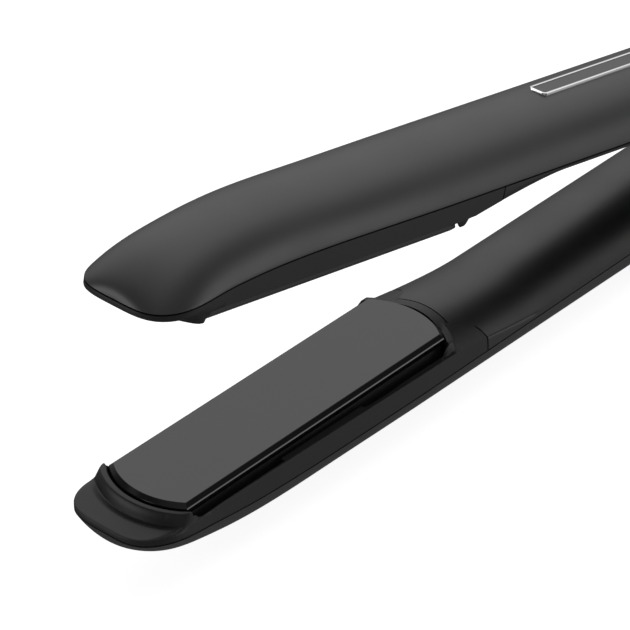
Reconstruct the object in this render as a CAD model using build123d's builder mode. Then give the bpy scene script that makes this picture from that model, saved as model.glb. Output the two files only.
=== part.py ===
"""A hair straightener: two hinged arms with floating heated plates, a power button and a cord swivel.

Millimetres, +Z up.  X runs along the lower arm from the tip (-X) to the hinge and the cord outlet (+X),
Y is across it, and Z = 0 is the surface that the lower arm lies on.  The jaw is modelled open.
Every piece of an arm is drawn on the lower arm.  The upper arm's pieces are mirrored in the jaw's
mid-plane and turned about the hinge by the opening angle.
"""

import os
from math import radians, sqrt, tan

from build123d import *

os.makedirs("parts", exist_ok=True)

# ---------------------------------------------------------------- driving dimensions
TIP_X = -131.3                  # front end of the arms
SPLIT_X = -11.45                # where the heater housing ends and the handle cover begins, at the side
HINGE_X = 110.0
SHELL_END_X = 124.0             # rear end of both arms
SWIVEL_END_X = 131.3            # rear end of the cord swivel
MID_Z = 22.3                    # height of the jaw's mid-plane and of the hinge axis
OPEN_ANGLE = 12.07              # the jaw's opening in degrees

HALF_WIDTH = 15.9               # of the arms
TIP_ROUND = 30.0                # length over which the tip rounds off in plan
TIP_BLUNT = 0.25                # how far short of its sharp end the rounded tip is cut
NOSE_ROUND = 21.0               # length over which the outer shell rises to the tip
FRONT_X = -55.75                # the arms taper forward of here
CROWN_SLOPE = 0.0136            # the outer shell deepens towards the hinge
SHELL_WALL = 2.0
COVER_WALL = 1.6
FLOOR_WALL = 1.4                # wall left over the lower arm's resting strip
SEAM_GAP = 0.25                 # shadow line between the outer shell and the inner covers

PLATE_X = -70.6                 # centre of the heating plate
PLATE_LENGTH = 90.3             # of the plate's flat face, corner to corner
PLATE_HALF_WIDTH = 11.5         # of the plate's flat face
PLATE_END_RADIUS = 19.0         # the plate's rounded ends
PLATE_BEVEL = 1.1
PLATE_THICKNESS = 3.2
PLATE_GAP = 0.15                # from each plate's face to the mid-plane when the jaw is shut
WELL_GAP = 0.5                  # between the plate's edge and the well that it floats in

# Inner layout, drawn for the lower arm and used for both.
CARRIER_TOP_Z = MID_Z - PLATE_GAP - PLATE_THICKNESS
CARRIER_BOTTOM_Z = MID_Z - 8.0
HEATER_LENGTH, HEATER_WIDTH, HEATER_THICKNESS = 70.0, 9.0, 1.4
FILM_THICKNESS = 0.2
THERMISTOR_RADIUS, THERMISTOR_Y = 1.1, 7.6
FUSE_RADIUS = 1.4
HOOK_Y, HOOK_GAP = 7.0, 0.1     # the carrier's snap hooks and their play under the cross bars
BAR_X = (-94.0, -47.2)          # the housing's screwed cross bars, under the plate
BAR_TOP_Z, BAR_BOTTOM_Z = MID_Z - 10.4, MID_Z - 12.4
BAR_LENGTH_X = 6.0
BUFFER_PLACES = [(PLATE_X + dx, y) for dx in (-14, 14) for y in (-6, 6)]
BUFFER_RADIUS = 2.4
BUFFER_FOOT_Z = MID_Z - 13.0
COVER_SCREW_PLACES = [(98.25, -9.8), (98.25, 9.8)]
COVER_SCREW_SEAT_Z = MID_Z - 9.0
LEAD_RADIUS = 0.7
LEAD_Z = MID_Z - 14.8
LEAD_TURN = 3.5                 # radius of the leads' bends
HEATER_LEAD_X = -32.0
HINGE_LEAD_X = HINGE_X - 6

# Hinge.
EYE_RADIUS, EYE_CLEARANCE = 8.0, 0.4
PIN_RADIUS = 2.0
BUSH_RADIUS = 3.6
CHEEK_Y = (8.4, 13.4)           # the lower arm's two hinge cheeks
KNUCKLE_Y = (4.2, 8.1)          # the upper arm's two knuckles between them
SPRING_RADIUS, SPRING_WIRE_RADIUS = 3.0, 0.45
SPRING_TURNS, SPRING_PITCH, SPRING_LEG = 5.5, 1.15, 7.0

# Electronics, power button and cord swivel of the lower arm.
BOARD_START_X, BOARD_END_X = 34.0, 95.0
BOARD_HALF_WIDTH = 7.0
BOARD_TOP_Z, BOARD_THICKNESS = MID_Z - 14.0, 1.6
BOARD_SCREW_PLACES = [(40.0, 4.6), (70.0, -4.6)]
BUTTON_X, BUTTON_LENGTH, BUTTON_WIDTH = 89.0, 11.0, 6.4
LENS_X, LENS_RADIUS = 78.5, 1.25
SWIVEL_Z = MID_Z - 12.2
SWIVEL_START_X = 117.6
SWIVEL_FLANGE_RADIUS, SWIVEL_NECK_RADIUS, SWIVEL_COLLAR_RADIUS = 4.2, 3.5, 4.8
CORD_RADIUS = 2.7               # of the bore that the mains cord goes in

# Inlay on the upper arm's crown: a raised bezel sunk into the shell, with an insert in its pocket.
INLAY_START_X, INLAY_END_X = 17.5, 92.0
INLAY_WIDTH, INLAY_RIM = 5.4, 0.7
INLAY_SINK, INLAY_RISE, INLAY_POCKET = 0.5, 0.55, 0.75

# Stations of the lofts: close together round the tip and the rear end.
NOSE_X = [TIP_X + step for step in (0, 0.6, 1.8, 4, 7, 11, 16, 22, 30, 42, 55)]
HANDLE_X = [-64, -22, 20, 60, 98, 108, 115, 120]
NOSE_CAVITY_X = [TIP_X + step for step in (3, 5, 8, 12, 17, 23, 31, 43, 56)]
REAR_X = [-16, -8, 0, 8, 20, 60, 98, 108, 115, 120]

LOWER, UPPER = "lower", "upper"
HINGE_AXIS = Axis((HINGE_X, 0, MID_Z), (0, 1, 0))


# ---------------------------------------------------------------- the arms' form
def ramp(x, start, end):
    """0 before start, 1 after end and straight in between; start may lie behind end."""
    return min(max((x - start) / (end - start), 0.0), 1.0)


def superellipse(t, power):
    """How far a rounded end has closed at the share t of its length: 1 at t = 0 and 0 at t = 1."""
    return max(1 - t**power, 0.0) ** (1 / power)


def tip_share(x, length):
    """0 where a stretch of the given length begins and 1 at the tip's sharp end."""
    return ramp(x, TIP_X - TIP_BLUNT + length, TIP_X - TIP_BLUNT)


def front_share(x, length):
    """0 from the middle of the plate rearward, and 1 at the given length before it."""
    return max((FRONT_X - x) / length, 0.0)


def rear_rounding(x):
    return superellipse(ramp(x, HINGE_X - 6, SHELL_END_X + 4), 3)


def half_width(x):
    """Half the arm's width at its seam."""
    return HALF_WIDTH * superellipse(tip_share(x, TIP_ROUND), 3.9) * rear_rounding(x)


def seam_z(x):
    """The seam between outer shell and inner covers climbs towards the tip."""
    return MID_Z - 10.5 + 5.1 * front_share(x, 75.55) ** 1.9


def crown_z(x):
    """The deepest line of the outer shell."""
    depth = 21.8 + CROWN_SLOPE * (x - FRONT_X) - 4.54 * front_share(x, 60) ** 3.68
    nose = superellipse(tip_share(x, NOSE_ROUND), 2.8) * rear_rounding(x)
    return seam_z(x) - (depth - (MID_Z - seam_z(x))) * nose


def wall_top_z(x):
    """The top edge of the housing's side walls beside the plate."""
    u = (max(x, -122.0) - FRONT_X) / 100
    return MID_Z - 4.82 - 0.95 * u + 4.23 * u**2


def cover_rise(x):
    """1 just behind the plate and 0 along the handle."""
    return ramp(x, 12.25, -21.75) ** 1.4


def cover_edge_z(x):
    return MID_Z - 9.05 + 4.35 * cover_rise(x)


def cover_crown_z(x):
    return cover_edge_z(x) + (4.45 - 1.35 * cover_rise(x)) * rear_rounding(x)


def shell_form(stations, inset=0.0):
    """The solid under the outer shell's surface, up to the seam, or past it where it is a cavity."""
    with BuildPart() as form:
        for x in stations:
            w, seam, crown = half_width(x) - inset, seam_z(x), crown_z(x) + inset
            top = seam + 3 if inset else seam
            with BuildSketch(Plane.YZ.offset(x)):
                with BuildLine():
                    ThreePointArc((-w, seam), (0, crown), (w, seam))
                    if inset:
                        Polyline((w, seam), (w, top), (-w, top), (-w, seam))
                    else:
                        Line((w, seam), (-w, seam))
                make_face()
        loft(ruled=True)
    return form.part


def front_form(stations, inset=0.0):
    """The heater housing's body beside and before the plate."""
    with BuildPart() as form:
        for x in stations:
            w, bottom, top = half_width(x) - inset, seam_z(x) + SEAM_GAP, wall_top_z(x) - inset
            bottom -= 2 * inset
            lean = min(0.4, w / 2)
            with BuildSketch(Plane.YZ.offset(x)):
                with BuildLine():
                    Polyline((-w, bottom), (w, bottom), (w - lean, top), (lean - w, top), close=True)
                make_face()
        loft(ruled=True)
    return form.part


def rear_form(stations, inset=0.0):
    """The body under the arched inner surface, from just behind the plate to the rear end."""
    with BuildPart() as form:
        for x in stations:
            w, bottom = half_width(x) - inset, seam_z(x) + SEAM_GAP - 2 * inset
            edge, crown = cover_edge_z(x) - inset, cover_crown_z(x) - inset
            with BuildSketch(Plane.YZ.offset(x)):
                with BuildLine():
                    Polyline((0.4 - w, edge), (-w, bottom), (w, bottom), (w - 0.4, edge))
                    ThreePointArc((w - 0.4, edge), (0, crown), (0.4 - w, edge))
                make_face()
        loft(ruled=True)
    return form.part


def plate_outline(offset):
    """The plate's plan with its flat face's edge moved out by offset: straight sides, rounded ends."""
    w, r = PLATE_HALF_WIDTH + offset, PLATE_END_RADIUS + offset
    corner = PLATE_LENGTH / 2 - sqrt(PLATE_END_RADIUS**2 - PLATE_HALF_WIDTH**2) + sqrt(r**2 - w**2)
    end = PLATE_LENGTH / 2 - sqrt(PLATE_END_RADIUS**2 - PLATE_HALF_WIDTH**2) + r
    with BuildSketch() as outline:
        with BuildLine():
            ThreePointArc((PLATE_X + corner, -w), (PLATE_X + end, 0), (PLATE_X + corner, w))
            Line((PLATE_X + corner, w), (PLATE_X - corner, w))
            ThreePointArc((PLATE_X - corner, w), (PLATE_X - end, 0), (PLATE_X - corner, -w))
            Line((PLATE_X - corner, -w), (PLATE_X + corner, -w))
        make_face()
    return outline.sketch


def save(builder, name, arms=(None,)):
    """Label the piece and write it, once for each arm that has one."""
    for arm in arms:
        piece, label = builder.part, f"{arm}_{name}" if arm else name
        if arm == UPPER:
            piece = piece.mirror(Plane.XY.offset(MID_Z)).rotate(HINGE_AXIS, OPEN_ANGLE)
        piece.label = label
        export_step(piece, f"parts/{label}.step")


BOTH = (LOWER, UPPER)

# ---------------------------------------------------------------- solids that several pieces are cut from
outside = shell_form(NOSE_X + HANDLE_X + [SHELL_END_X])
mid_wall = shell_form(NOSE_CAVITY_X + HANDLE_X, SHELL_WALL / 2)
cavity = shell_form(NOSE_CAVITY_X + HANDLE_X + [SHELL_END_X - SHELL_WALL], SHELL_WALL)
front_body = front_form(NOSE_X + [-64, -22])
front_cavity = front_form(NOSE_CAVITY_X + [-64, -23], COVER_WALL)
bar_space = shell_form(NOSE_CAVITY_X + HANDLE_X, SHELL_WALL + 0.2)
rear_body = rear_form([-24] + REAR_X + [SHELL_END_X])
rear_cavity = rear_form([-22.5] + REAR_X + [SHELL_END_X - 2], COVER_WALL)


# ---------------------------------------------------------------- outer shells
def shell_posts():
    """Screw bosses and the feet under the plate's buffers, standing on the shell's wall."""
    with BuildPart() as posts:
        for places, radius, top in (
            ([(x, 0) for x in BAR_X], 3.0, BAR_BOTTOM_Z - 0.1),
            (BUFFER_PLACES, BUFFER_RADIUS + 1, BUFFER_FOOT_Z),
            (COVER_SCREW_PLACES, 2.4, COVER_SCREW_SEAT_Z - 1.2),
        ):
            with BuildSketch(Plane.XY.offset(top)):
                with Locations(*places):
                    Circle(radius)
            extrude(amount=-MID_Z)
        add(mid_wall, mode=Mode.INTERSECT)
        with BuildSketch(Plane.XY.offset(MID_Z)):
            with Locations(*[(x, 0) for x in BAR_X]):
                Circle(1.1)
            with Locations(*COVER_SCREW_PLACES):
                Circle(1.0)
        extrude(amount=-17.5, mode=Mode.SUBTRACT)
    return posts.part


posts = shell_posts()

with BuildPart() as board_posts:
    with BuildSketch(Plane.XY.offset(BOARD_TOP_Z - BOARD_THICKNESS)):
        with Locations(*BOARD_SCREW_PLACES):
            Circle(2.2)
    extrude(amount=-MID_Z)
    add(mid_wall, mode=Mode.INTERSECT)
    with BuildSketch(Plane.XY.offset(MID_Z)):
        with Locations(*BOARD_SCREW_PLACES):
            Circle(0.9)
    extrude(amount=-19.2, mode=Mode.SUBTRACT)

with BuildPart() as lower_cavity:
    add(cavity)
    with BuildSketch(Plane.XY.offset(FLOOR_WALL)):
        Rectangle(400, 60)
    extrude(amount=-10, mode=Mode.SUBTRACT)

with BuildPart() as swivel_opening:
    with BuildSketch(Plane.YZ.offset(SHELL_END_X - 6)):
        with Locations((0, SWIVEL_Z)):
            Circle(SWIVEL_NECK_RADIUS + 0.3)
    extrude(amount=12)

with BuildPart() as lower_outer_shell:
    add(outside)
    add(lower_cavity.part, mode=Mode.SUBTRACT)
    add(posts)
    add(board_posts.part)
    add(swivel_opening.part, mode=Mode.SUBTRACT)
    with BuildSketch():
        Rectangle(400, 60)
    extrude(amount=-10, mode=Mode.SUBTRACT)
save(lower_outer_shell, "lower_outer_shell")

# The inlay lies along the crown of the upper shell, so its plane follows the crown's slope.
inlay_slope = (crown_z(INLAY_END_X) - crown_z(INLAY_START_X)) / (INLAY_END_X - INLAY_START_X)
inlay_plane = Plane(
    origin=((INLAY_START_X + INLAY_END_X) / 2, 0, (crown_z(INLAY_START_X) + crown_z(INLAY_END_X)) / 2),
    x_dir=(1, 0, inlay_slope),
    z_dir=(inlay_slope, 0, -1),
)

with BuildPart() as inlay_bezel:
    with BuildSketch(inlay_plane.offset(-INLAY_SINK)):
        RectangleRounded(INLAY_END_X - INLAY_START_X, INLAY_WIDTH, 1.2)
    extrude(amount=INLAY_SINK + INLAY_RISE)
    with BuildSketch(inlay_plane.offset(INLAY_RISE)):
        RectangleRounded(INLAY_END_X - INLAY_START_X - 2 * INLAY_RIM, INLAY_WIDTH - 2 * INLAY_RIM, 0.6)
    extrude(amount=-INLAY_POCKET, mode=Mode.SUBTRACT)
save(inlay_bezel, "inlay_bezel", (UPPER,))

with BuildPart() as inlay_insert:
    with BuildSketch(inlay_plane.offset(INLAY_RISE - INLAY_POCKET)):
        RectangleRounded(INLAY_END_X - INLAY_START_X - 2 * INLAY_RIM, INLAY_WIDTH - 2 * INLAY_RIM, 0.6)
    extrude(amount=INLAY_POCKET - 0.15)
save(inlay_insert, "inlay_insert", (UPPER,))

with BuildPart() as upper_outer_shell:
    add(outside)
    add(cavity, mode=Mode.SUBTRACT)
    add(posts)
    with BuildSketch(inlay_plane.offset(-INLAY_SINK)):
        RectangleRounded(INLAY_END_X - INLAY_START_X, INLAY_WIDTH, 1.2)
    extrude(amount=4, mode=Mode.SUBTRACT)
save(upper_outer_shell, "outer_shell", (UPPER,))


# ---------------------------------------------------------------- heater housings
def arc_rim(end, inner, outer, reach_y, bottom_z, top_z):
    """A raised rim that follows one rounded end of the plate; end is -1 at the front and 1 at the rear."""
    centre_x = PLATE_X + end * (PLATE_LENGTH / 2 - sqrt(PLATE_END_RADIUS**2 - PLATE_HALF_WIDTH**2))
    with BuildPart() as rim:
        with BuildSketch(Plane.XY.offset(bottom_z)):
            with Locations((centre_x, 0)):
                Circle(outer)
                Circle(inner, mode=Mode.SUBTRACT)
            with Locations((centre_x + end * (outer + 8) / 2 + end * 4, 0)):
                Rectangle(outer, 2 * reach_y, mode=Mode.INTERSECT)
        extrude(amount=top_z - bottom_z)
        chamfer(rim.faces().sort_by(Axis.Z)[-1].edges().filter_by(GeomType.CIRCLE), length=0.5)
    return rim.part


def cover_plan(shift=0.0):
    """The handle cover's plan: its front edge follows the plate's end, and its corners reach back."""
    x = SPLIT_X - shift
    with BuildSketch() as plan:
        with BuildLine():
            ThreePointArc((x - 5.95, -10), (x - 3.95, 0), (x - 5.95, 10))
            Polyline((x - 5.95, 10), (x - 0.75, 11.8), (x, 13.2), (x, 20), (150, 20))
            Polyline((x - 5.95, -10), (x - 0.75, -11.8), (x, -13.2), (x, -20), (150, -20), (150, 20))
        make_face()
    return plan.sketch


front_rim = arc_rim(-1, PLATE_END_RADIUS + 2.4, PLATE_END_RADIUS + 4.8, 13.9, MID_Z - 5.6, MID_Z - 1.4)
rear_rim = arc_rim(1, PLATE_END_RADIUS + 2.2, PLATE_END_RADIUS + 5.4, 15.2, MID_Z - 6.2, MID_Z - 1.5)
housing_end, cover_start = cover_plan(SEAM_GAP), cover_plan()
well = plate_outline(PLATE_BEVEL + WELL_GAP)

with BuildPart() as bars:
    with BuildSketch(Plane.XY.offset(BAR_BOTTOM_Z)):
        with Locations(*[(x, 0) for x in BAR_X]):
            Rectangle(BAR_LENGTH_X, 26.6)
    extrude(amount=5.6)
    with BuildSketch(Plane.XY.offset(BAR_TOP_Z)):
        Rectangle(400, 24.4)
    extrude(amount=10, mode=Mode.SUBTRACT)
    with BuildSketch(Plane.XY.offset(BAR_BOTTOM_Z)):
        with Locations(*[(x, 0) for x in BAR_X]):
            Circle(1.3)
    extrude(amount=10, mode=Mode.SUBTRACT)
    add(bar_space, mode=Mode.INTERSECT)

with BuildPart() as heater_housing:
    add(front_body)
    add(rear_body)
    add(front_cavity, mode=Mode.SUBTRACT)
    add(rear_cavity, mode=Mode.SUBTRACT)
    add(front_rim)
    add(rear_rim)
    add(well)
    extrude(amount=2 * MID_Z, mode=Mode.SUBTRACT)
    add(housing_end)
    extrude(amount=2 * MID_Z, mode=Mode.SUBTRACT)
    add(bars.part)
save(heater_housing, "heater_housing", BOTH)


# ---------------------------------------------------------------- handle covers and the hinge's eyes
def hinge_disc(radius, half_length):
    """A disc or cylinder on the hinge's axis, reaching half_length to both sides."""
    with BuildPart() as disc:
        with BuildSketch(Plane.XZ):
            with Locations((HINGE_X, MID_Z)):
                Circle(radius)
        extrude(amount=half_length, both=True)
    return disc.part


def hinge_eyes(span_y):
    """A pair of eyes round the hinge's axis with webs into the cover, between the two distances of span_y."""
    with BuildPart() as eyes:
        with BuildSketch(Plane.XZ):
            with Locations((HINGE_X, MID_Z)):
                Circle(EYE_RADIUS)
            with Locations((HINGE_X, MID_Z - 5)):
                Rectangle(2 * EYE_RADIUS, 10)
        extrude(amount=span_y[1], both=True)
        with BuildSketch(Plane.XZ):
            with Locations((HINGE_X, MID_Z)):
                Rectangle(40, 40)
        extrude(amount=span_y[0], both=True, mode=Mode.SUBTRACT)
    return eyes.part


def rear_stop():
    """A block behind the hinge; the two arms' blocks meet when the jaw is fully open."""
    near, far, slope = EYE_RADIUS + 0.7, EYE_RADIUS + 4.2, tan(radians(OPEN_ANGLE / 2))
    with BuildPart() as stop:
        with BuildSketch(Plane.XZ):
            with BuildLine():
                Polyline(
                    (HINGE_X + near, MID_Z - 6.4),
                    (HINGE_X + far, MID_Z - 6.4),
                    (HINGE_X + far, MID_Z - 0.2 - far * slope),
                    (HINGE_X + near, MID_Z - 0.2 - near * slope),
                    close=True,
                )
            make_face()
        extrude(amount=5, both=True)
    return stop.part


def plain_cover():
    """A handle cover without its hinge eyes."""
    with BuildPart() as cover:
        add(rear_body)
        add(cover_start)
        extrude(amount=2 * MID_Z, mode=Mode.INTERSECT)
        add(rear_cavity, mode=Mode.SUBTRACT)
        with BuildSketch(Plane.XY.offset(COVER_SCREW_SEAT_Z - 1.1)):
            with Locations(*COVER_SCREW_PLACES):
                Circle(3.0)
        extrude(amount=2)
        with BuildSketch(Plane.XY.offset(COVER_SCREW_SEAT_Z - 1.1)):
            with Locations(*COVER_SCREW_PLACES):
                Circle(1.2)
        extrude(amount=10, mode=Mode.SUBTRACT)
        with BuildSketch(Plane.XY.offset(COVER_SCREW_SEAT_Z)):
            with Locations(*COVER_SCREW_PLACES):
                Circle(2.2)
        extrude(amount=10, mode=Mode.SUBTRACT)
        add(stop_block)
        with BuildSketch(Plane.XY.offset(MID_Z - 8)):
            with Locations((HINGE_LEAD_X - 1, 0)):
                Rectangle(6, 2 * KNUCKLE_Y[0] - 0.6)
        extrude(amount=8, mode=Mode.SUBTRACT)
    return cover.part


stop_block = rear_stop()
cover_body = plain_cover()
knuckle_pocket = hinge_disc(EYE_RADIUS + EYE_CLEARANCE, CHEEK_Y[0])
cheek_pocket = hinge_disc(EYE_RADIUS + EYE_CLEARANCE, CHEEK_Y[1] + 0.3)
middle_pocket = hinge_disc(EYE_RADIUS + EYE_CLEARANCE, KNUCKLE_Y[0])
cheeks, knuckles = hinge_eyes(CHEEK_Y), hinge_eyes(KNUCKLE_Y)
pin_bore = hinge_disc(PIN_RADIUS, 30)
bush_bore = hinge_disc(BUSH_RADIUS, 30)

with BuildPart() as lower_handle_cover:
    add(cover_body)
    add(knuckle_pocket, mode=Mode.SUBTRACT)
    add(cheeks)
    add(pin_bore, mode=Mode.SUBTRACT)
    add(swivel_opening.part, mode=Mode.SUBTRACT)
    with BuildSketch(Plane.XY.offset(MID_Z - 9)):
        with Locations((BUTTON_X, 0)):
            RectangleRounded(BUTTON_LENGTH + 0.7, BUTTON_WIDTH + 0.7, BUTTON_WIDTH / 2)
        with Locations((LENS_X, 0)):
            Circle(LENS_RADIUS)
    extrude(amount=8, mode=Mode.SUBTRACT)
save(lower_handle_cover, "lower_handle_cover")

with BuildPart() as upper_handle_cover:
    add(cover_body)
    add(cheek_pocket, mode=Mode.SUBTRACT)
    add(knuckles)
    add(bush_bore, mode=Mode.SUBTRACT)
save(upper_handle_cover, "handle_cover", (UPPER,))

# ---------------------------------------------------------------- hinge
with BuildPart() as hinge_pin:
    with BuildSketch(Plane.XZ):
        with Locations((HINGE_X, MID_Z)):
            Circle(PIN_RADIUS)
    extrude(amount=CHEEK_Y[1], both=True)
save(hinge_pin, "hinge_pin")

with BuildPart() as hinge_caps:
    for side in (-1, 1):
        with BuildSketch(Plane.XZ.offset(side * CHEEK_Y[1])):
            with Locations((HINGE_X, MID_Z)):
                Circle(EYE_RADIUS - 1)
        extrude(amount=side * 1.2)
    chamfer(hinge_caps.faces().sort_by(Axis.Y)[0].edges(), length=0.5)
    chamfer(hinge_caps.faces().sort_by(Axis.Y)[-1].edges(), length=0.5)
save(hinge_caps, "hinge_caps")

with BuildPart() as hinge_bushes:
    with BuildSketch(Plane.XZ):
        with Locations((HINGE_X, MID_Z)):
            Circle(BUSH_RADIUS)
            Circle(PIN_RADIUS + 0.06, mode=Mode.SUBTRACT)
    extrude(amount=KNUCKLE_Y[1], both=True)
    with BuildSketch(Plane.XZ):
        with Locations((HINGE_X, MID_Z)):
            Circle(BUSH_RADIUS + 1)
    extrude(amount=KNUCKLE_Y[0], both=True, mode=Mode.SUBTRACT)
save(hinge_bushes, "hinge_bushes", (UPPER,))

with BuildPart() as hinge_spring:
    with BuildLine():
        coil = Helix(
            pitch=SPRING_PITCH,
            height=SPRING_TURNS * SPRING_PITCH,
            radius=SPRING_RADIUS,
            center=(HINGE_X, -SPRING_TURNS * SPRING_PITCH / 2, MID_Z),
            direction=(0, 1, 0),
        )
    with BuildSketch(Plane(origin=coil @ 0, z_dir=coil % 0)):
        Circle(SPRING_WIRE_RADIUS)
    sweep(path=coil, is_frenet=True)
    for at, heading in ((0, -1), (1, 1)):
        with BuildSketch(Plane(origin=coil @ at, z_dir=(coil % at) * heading)):
            Circle(SPRING_WIRE_RADIUS)
        extrude(amount=SPRING_LEG)
save(hinge_spring, "hinge_spring")


# ---------------------------------------------------------------- heated plates and what floats with them
with BuildPart() as heating_plate:
    add(plate_outline(PLATE_BEVEL).moved(Location((0, 0, CARRIER_TOP_Z))))
    extrude(amount=PLATE_THICKNESS)
    chamfer(heating_plate.faces().sort_by(Axis.Z)[-1].edges(), length=PLATE_BEVEL - 0.02)
save(heating_plate, "heating_plate", BOTH)

with BuildPart() as ceramic_heater:
    with BuildSketch(Plane.XY.offset(CARRIER_TOP_Z)):
        with Locations((PLATE_X, 0)):
            Rectangle(HEATER_LENGTH, HEATER_WIDTH)
    extrude(amount=-HEATER_THICKNESS)
save(ceramic_heater, "ceramic_heater", BOTH)

with BuildPart() as insulating_film:
    with BuildSketch(Plane.XY.offset(CARRIER_TOP_Z - HEATER_THICKNESS)):
        with Locations((PLATE_X, 0)):
            Rectangle(HEATER_LENGTH, HEATER_WIDTH)
    extrude(amount=-FILM_THICKNESS)
save(insulating_film, "insulating_film", BOTH)

with BuildPart() as thermistor:
    with BuildSketch(Plane.YZ.offset(PLATE_X + 8)):
        with Locations((THERMISTOR_Y, CARRIER_TOP_Z - THERMISTOR_RADIUS)):
            Circle(THERMISTOR_RADIUS)
    extrude(amount=5)
save(thermistor, "thermistor", BOTH)

with BuildPart() as thermal_fuse:
    with BuildSketch(Plane.YZ.offset(PLATE_X - 16)):
        with Locations((-THERMISTOR_Y, CARRIER_TOP_Z - FUSE_RADIUS)):
            Circle(FUSE_RADIUS)
    extrude(amount=9)
save(thermal_fuse, "thermal_fuse", BOTH)

with BuildPart() as plate_carrier:
    add(plate_outline(PLATE_BEVEL - 0.6).moved(Location((0, 0, CARRIER_BOTTOM_Z))))
    extrude(amount=CARRIER_TOP_Z - CARRIER_BOTTOM_Z)
    with BuildSketch(Plane.XY.offset(CARRIER_TOP_Z)):
        with Locations((PLATE_X, 0)):
            Rectangle(HEATER_LENGTH, HEATER_WIDTH)
    extrude(amount=-HEATER_THICKNESS - FILM_THICKNESS, mode=Mode.SUBTRACT)
    with BuildSketch(Plane.XY.offset(CARRIER_TOP_Z)):
        with Locations((PLATE_X + 10.5, THERMISTOR_Y)):
            Rectangle(5.4, 2 * THERMISTOR_RADIUS + 0.2)
    extrude(amount=-2 * THERMISTOR_RADIUS - 0.1, mode=Mode.SUBTRACT)
    with BuildSketch(Plane.XY.offset(CARRIER_TOP_Z)):
        with Locations((PLATE_X - 11.5, -THERMISTOR_Y)):
            Rectangle(9.4, 2 * FUSE_RADIUS + 0.2)
    extrude(amount=-2 * FUSE_RADIUS - 0.1, mode=Mode.SUBTRACT)
    for x in BAR_X:
        inward = 1 if x < PLATE_X else -1
        face_x = x + inward * (BAR_LENGTH_X / 2 + 0.3)
        hook_z = BAR_BOTTOM_Z - HOOK_GAP
        with BuildSketch(Plane.XZ):
            with BuildLine():
                Polyline(
                    (face_x, CARRIER_BOTTOM_Z),
                    (face_x, hook_z),
                    (face_x - inward * 1.3, hook_z),
                    (face_x, hook_z - 1.6),
                    (face_x + inward * 1.6, hook_z - 1.6),
                    (face_x + inward * 1.6, CARRIER_BOTTOM_Z),
                    close=True,
                )
            make_face()
        extrude(amount=HOOK_Y + 1.5, both=True)
    with BuildSketch(Plane.XY.offset(CARRIER_BOTTOM_Z)):
        with Locations((PLATE_X, 0)):
            Rectangle(PLATE_LENGTH, 2 * HOOK_Y - 3)
    extrude(amount=-MID_Z, mode=Mode.SUBTRACT)
save(plate_carrier, "plate_carrier", BOTH)

with BuildPart() as plate_buffers:
    with BuildSketch(Plane.XY.offset(BUFFER_FOOT_Z)):
        with Locations(*BUFFER_PLACES):
            Circle(BUFFER_RADIUS)
            Circle(BUFFER_RADIUS - 1.2, mode=Mode.SUBTRACT)
    extrude(amount=CARRIER_BOTTOM_Z - BUFFER_FOOT_Z)
save(plate_buffers, "plate_buffers", BOTH)


# ---------------------------------------------------------------- wiring
def wire_pair(spread_y, *points):
    """Two round wires through the given points of the XZ plane, with bent corners."""
    with BuildPart() as wires:
        for side in (-1, 1):
            with BuildLine() as route:
                FilletPolyline(*[(x, side * spread_y, z) for x, z in points], radius=LEAD_TURN)
            with BuildSketch(Plane(origin=route.line @ 0, z_dir=route.line % 0)):
                Circle(LEAD_RADIUS)
            sweep(path=route.line)
    return wires.part


def raised(x, z):
    """Where a point of the lower arm's XZ plane lies on the upper arm."""
    point = Vector(x - HINGE_X, 0, MID_Z - z).rotate(Axis.Y, OPEN_ANGLE)
    return HINGE_X + point.X, MID_Z + point.Z


for arm, end_x in ((LOWER, BOARD_START_X), (UPPER, HINGE_LEAD_X - 10)):
    with BuildPart() as heater_leads:
        add(wire_pair(2.4, (HEATER_LEAD_X, CARRIER_BOTTOM_Z), (HEATER_LEAD_X, LEAD_Z), (end_x, LEAD_Z)))
    save(heater_leads, "heater_leads", (arm,))

with BuildPart() as hinge_wires:
    add(
        wire_pair(
            1.2,
            (BOARD_END_X, LEAD_Z),
            (HINGE_LEAD_X, LEAD_Z),
            (HINGE_LEAD_X, MID_Z),
            raised(HINGE_LEAD_X, LEAD_Z),
            raised(HINGE_LEAD_X - 10, LEAD_Z),
        )
    )
save(hinge_wires, "hinge_wires")

with BuildPart() as mains_leads:
    with BuildSketch(Plane.YZ.offset(BOARD_END_X - 2)):
        with Locations(*[(side * 2.7, BOARD_TOP_Z + LEAD_RADIUS) for side in (-1, 1)]):
            Circle(LEAD_RADIUS)
    extrude(amount=SWIVEL_START_X - 0.3 - BOARD_END_X + 2)
save(mains_leads, "mains_leads")

# ---------------------------------------------------------------- electronics in the lower arm
with BuildPart() as circuit_board:
    with BuildSketch(Plane.XY.offset(BOARD_TOP_Z)):
        with Locations(((BOARD_START_X + BOARD_END_X) / 2, 0)):
            Rectangle(BOARD_END_X - BOARD_START_X, 2 * BOARD_HALF_WIDTH)
        with Locations(*BOARD_SCREW_PLACES):
            Circle(1.1, mode=Mode.SUBTRACT)
    extrude(amount=-BOARD_THICKNESS)
save(circuit_board, "circuit_board")

with BuildPart() as board_components:
    for x, y, length, width, height in (
        (50, 0, 9, 9, 3.2),
        (61, 1.5, 6, 6, 1.2),
        (70.5, 3.5, 3, 5, 2.6),
        (LENS_X, 0, 2.6, 1.8, 1.4),
    ):
        with BuildSketch(Plane.XY.offset(BOARD_TOP_Z)):
            with Locations((x, y)):
                Rectangle(length, width)
        extrude(amount=height)
    with BuildSketch(Plane.YZ.offset(52)):
        with Locations((0, BOARD_TOP_Z - BOARD_THICKNESS - 2)):
            Circle(2)
    extrude(amount=12)
save(board_components, "board_components")

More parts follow.
